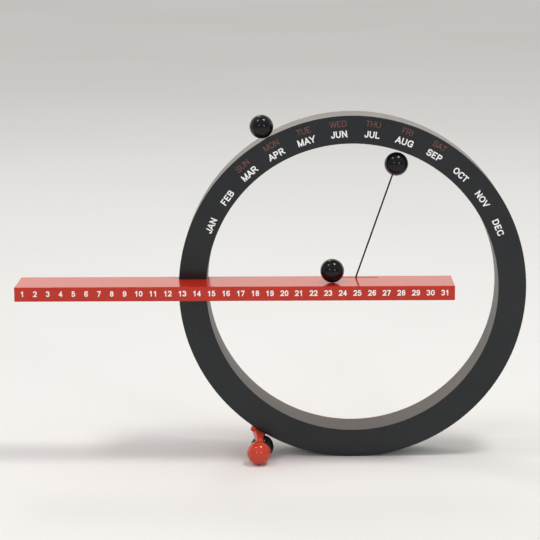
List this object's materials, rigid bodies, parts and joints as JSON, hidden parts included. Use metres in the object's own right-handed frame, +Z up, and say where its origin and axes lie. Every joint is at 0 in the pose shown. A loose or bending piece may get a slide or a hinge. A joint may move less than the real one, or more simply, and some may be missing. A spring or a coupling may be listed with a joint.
{
  "type": "perpetual desk calendar",
  "caption": "Perpetual desk calendar: a standing ring with month and weekday dial, a date bar let into it, and magnetic marker balls on rim, wire and bar.",
  "frame": {"origin": "on the table under the ring's centre, midway through the ring's depth, in the flat land that the ring stands on", "axes": "+X to the right along the date bar, +Y towards the back, +Z up; the dial faces -Y"},
  "size_m": [0.219, 0.0365, 0.1503],
  "materials": {
    "ring_charcoal": "satin moulded charcoal ABS, fine even grain",
    "bar_red": "polished orange-red ABS",
    "foot_ball_red": "polished orange-red ABS",
    "ball_black": "polished black",
    "strip_steel": "plain rolled steel strip",
    "screw_steel": "zinc-plated screws",
    "pin_steel": "ground steel pin",
    "ballast_iron": "plain cast weight",
    "magnet_nickel": "nickel-plated disc magnet",
    "wire_black": "blackened spring steel wire",
    "hub_brass": "turned brass"
  },
  "bodies": {
    "stand": {"ring_front_shell": "ring_charcoal", "ring_rear_cover": "ring_charcoal", "ring_cover_screws": "screw_steel", "weekday_steel_strip": "strip_steel", "month_steel_strip": "strip_steel", "ring_ballast": "ballast_iron", "ballast_screws": "screw_steel", "bar_body": "bar_red", "bar_underside_cover": "bar_red", "bar_cover_screws": "screw_steel", "date_steel_strip": "strip_steel", "bar_fixing_screws": "screw_steel", "pointer_pivot_pin": "pin_steel", "foot_bracket": "bar_red", "foot_bracket_screws": "screw_steel", "foot_front_ball": "foot_ball_red", "foot_rear_ball": "ball_black", "foot_ball_pins": "pin_steel"},
    "weekday_marker": {"weekday_ball_front": "ball_black", "weekday_ball_rear": "ball_black", "weekday_magnet": "magnet_nickel"},
    "month_pointer": {"pointer_wire": "wire_black", "pointer_hub": "hub_brass", "month_ball_front": "ball_black", "month_ball_rear": "ball_black", "month_magnet": "magnet_nickel"},
    "date_marker": {"date_ball_front": "ball_black", "date_ball_rear": "ball_black", "date_magnet": "magnet_nickel"}
  },
  "joints": [
    {"name": "weekday_travel", "type": "hinge", "parent": "stand", "child": "weekday_marker", "pos_m": [0, -0.0067, 0.07494], "axis": [0, 1, 0], "range_deg": [-12.57, 59.55]},
    {"name": "month_travel", "type": "hinge", "parent": "stand", "child": "month_pointer", "pos_m": [0, -0.0067, 0.07494], "axis": [0, 1, 0], "range_deg": [-84.81, 47.41]},
    {"name": "date_travel", "type": "slide", "parent": "stand", "child": "date_marker", "axis": [1, 0, 0], "range_m": [-0.1317, 0.0477]}
  ]
}
